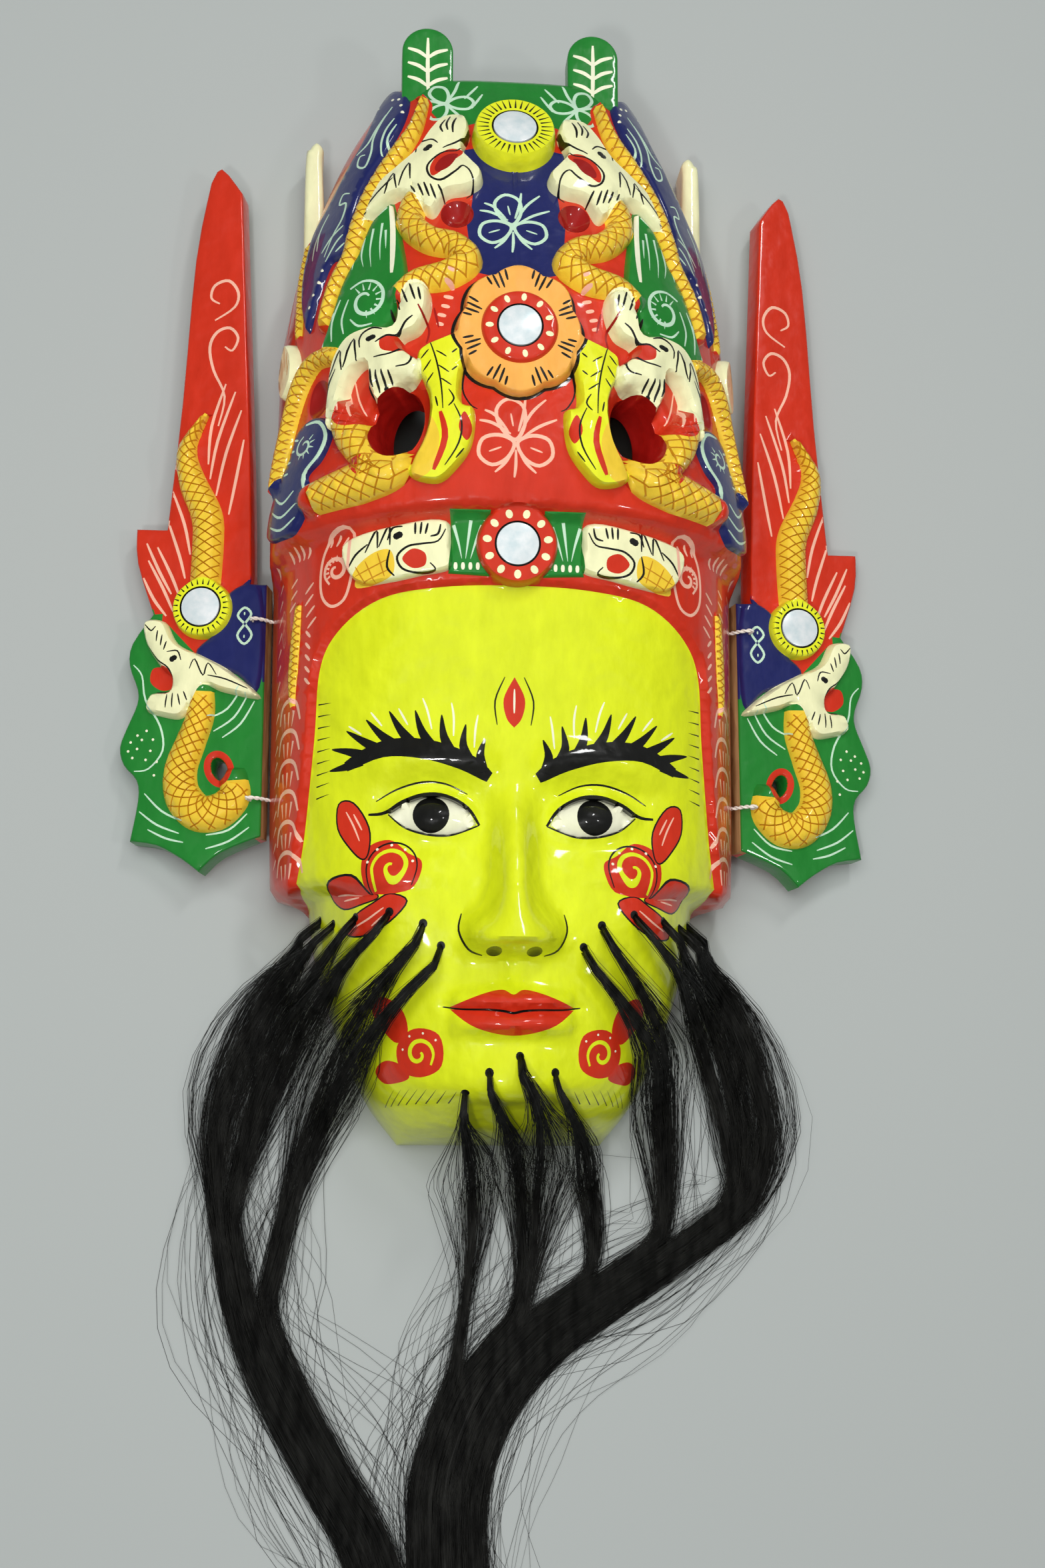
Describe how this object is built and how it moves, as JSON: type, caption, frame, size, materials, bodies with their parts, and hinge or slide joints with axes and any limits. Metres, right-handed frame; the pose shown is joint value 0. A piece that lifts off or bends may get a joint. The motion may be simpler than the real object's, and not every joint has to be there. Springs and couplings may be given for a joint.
{
  "type": "opera mask",
  "caption": "Carved and lacquered wooden opera mask lying face up: calm face under a tall openwork crown, with ear boards on thread ties, small round mirrors and a long tufted beard.",
  "frame": {"origin": "centre of the footprint, on the surface that the mask lies on", "axes": "+Z out of the face, +Y from the beard towards the crown, +X to the viewer's right"},
  "size_m": [0.3352, 0.7455, 0.1128],
  "materials": {
    "lacquered_wood": "hand-painted glossy lacquer in vermilion, green, navy, cream, gold and lemon yellow over carved wood; the back is bare wood",
    "mirror_glass": "small flat silvered glass",
    "cotton_thread": "matt undyed cotton thread",
    "hair": "near-black straight animal hair with a soft sheen"
  },
  "bodies": {
    "root": {"mask": "lacquered_wood", "ear_left": "lacquered_wood", "ear_right": "lacquered_wood", "crown_mirror": "mirror_glass", "flower_mirror": "mirror_glass", "brow_mirror": "mirror_glass", "ear_mirror_left": "mirror_glass", "ear_mirror_right": "mirror_glass", "tie_left_1": "cotton_thread", "tie_left_2": "cotton_thread", "tie_right_1": "cotton_thread", "tie_right_2": "cotton_thread", "beard_left_1": "hair", "beard_left_2": "hair", "beard_left_3": "hair", "beard_left_4": "hair", "beard_left_5": "hair", "beard_left_6": "hair", "beard_right_1": "hair", "beard_right_2": "hair", "beard_right_3": "hair", "beard_right_4": "hair", "beard_right_5": "hair", "beard_right_6": "hair", "beard_chin_1": "hair", "beard_chin_2": "hair", "beard_chin_3": "hair", "beard_chin_4": "hair"}
  },
  "joints": []
}
